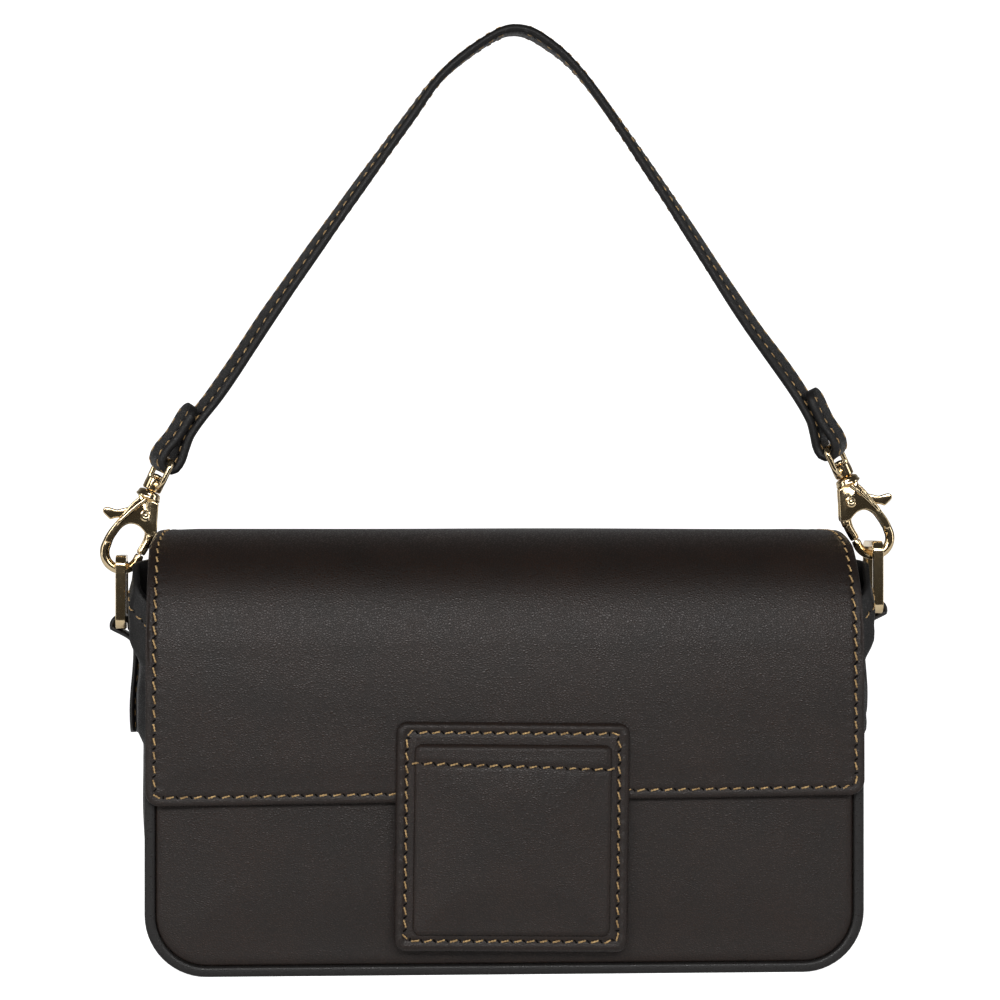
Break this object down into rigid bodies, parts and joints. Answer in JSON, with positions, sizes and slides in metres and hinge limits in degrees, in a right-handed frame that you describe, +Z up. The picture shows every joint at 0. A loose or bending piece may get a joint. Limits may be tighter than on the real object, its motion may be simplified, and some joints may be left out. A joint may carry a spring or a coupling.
{
  "type": "flap bag",
  "caption": "Small structured leather bag with a rounded flap, padded magnetic closure tab and a short strap on swivel clasps hooked into side rings.",
  "frame": {"origin": "middle of the whole object's box, on the surface that the bag stands on", "axes": "+X to the right in a front view, -Y out of the front with the flap and tab, +Z up to the strap"},
  "size_m": [0.238, 0.0672, 0.2798],
  "materials": {
    "leather": "smooth fine-grained dark brown leather with a soft sheen",
    "edge_paint": "folded leather edge with near-black edge paint",
    "lining": "matt brown lining",
    "board": "pressed fibre board",
    "gold": "polished pale gold plating",
    "steel": "plain spring steel"
  },
  "bodies": {
    "root": {"front_panel": "leather", "back_panel": "leather", "gusset": "leather", "front_edge_band": "edge_paint", "back_edge_band": "edge_paint", "lining": "lining", "base_board": "board", "snap_socket": "gold", "snap_socket_washer": "steel", "ring_loop_left": "leather", "ring_loop_right": "leather"},
    "flap": {"flap_leather": "leather", "flap_lining": "lining", "closure_tab": "leather", "closure_tab_panel": "leather", "snap_stud": "gold"},
    "strap": {"strap": "leather"},
    "ring_left": {"ring_left": "gold"},
    "clasp_left": {"bail_left": "gold", "strap_end_left": "leather"},
    "hook_left": {"hook_left": "gold", "gate_rivet_left": "gold", "gate_spring_left": "steel"},
    "gate_left": {"gate_left": "gold"},
    "ring_right": {"ring_right": "gold"},
    "clasp_right": {"bail_right": "gold", "strap_end_right": "leather"},
    "hook_right": {"hook_right": "gold", "gate_rivet_right": "gold", "gate_spring_right": "steel"},
    "gate_right": {"gate_right": "gold"}
  },
  "joints": [
    {"name": "flap_open", "type": "hinge", "parent": "root", "child": "flap", "pos_m": [0, 0.0336, 0.12435], "axis": [-1, 0, 0], "range_deg": [0, 105]},
    {"name": "strap_tilt", "type": "hinge", "parent": "root", "child": "strap", "pos_m": [0, 0.0036, 0.11945], "axis": [-0.9998, 0, -0.0182], "range_deg": [0, 105]},
    {"name": "clasp_left_splay", "type": "hinge", "parent": "strap", "child": "clasp_left", "pos_m": [-0.1125, 0.0036, 0.1225], "axis": [0, -1, 0], "range_deg": [0, 33.6]},
    {"name": "hook_left_swivel", "type": "hinge", "parent": "clasp_left", "child": "hook_left", "pos_m": [-0.1125, 0.0036, 0.1225], "axis": [0.4258, 0, 0.9048], "range_deg": [-15, 15]},
    {"name": "gate_left_open", "type": "hinge", "parent": "hook_left", "child": "gate_left", "pos_m": [-0.10542, 0.0036, 0.13331], "axis": [0, -1, 0], "range_deg": [-30, 0], "stiffness_Nm_per_rad": 0.02, "springref_deg": 5.73, "deforming": ["gate_spring_left"]},
    {"name": "ring_left_swing", "type": "hinge", "parent": "root", "child": "ring_left", "pos_m": [-0.1125, 0.0036, 0.1009], "axis": [0, 1, 0], "range_deg": [-2, 2]},
    {"name": "clasp_right_splay", "type": "hinge", "parent": "strap", "child": "clasp_right", "pos_m": [0.1125, 0.0036, 0.1266], "axis": [0, 1, 0], "range_deg": [0, 33.6]},
    {"name": "hook_right_swivel", "type": "hinge", "parent": "clasp_right", "child": "hook_right", "pos_m": [0.1125, 0.0036, 0.1266], "axis": [-0.4163, 0, 0.9092], "range_deg": [-15, 15]},
    {"name": "gate_right_open", "type": "hinge", "parent": "hook_right", "child": "gate_right", "pos_m": [0.10554, 0.0036, 0.13749], "axis": [0, 1, 0], "range_deg": [-30, 0], "stiffness_Nm_per_rad": 0.02, "springref_deg": 5.73, "deforming": ["gate_spring_right"]},
    {"name": "ring_right_swing", "type": "hinge", "parent": "root", "child": "ring_right", "pos_m": [0.1125, 0.0036, 0.105], "axis": [0, 1, 0], "range_deg": [-2, 2]}
  ],
  "couplings": [
    {"joint": "strap_tilt", "follows": "flap_open", "ratio": 1},
    {"joint": "clasp_left_splay", "follows": "flap_open", "ratio": 0.32},
    {"joint": "clasp_right_splay", "follows": "flap_open", "ratio": 0.32}
  ]
}
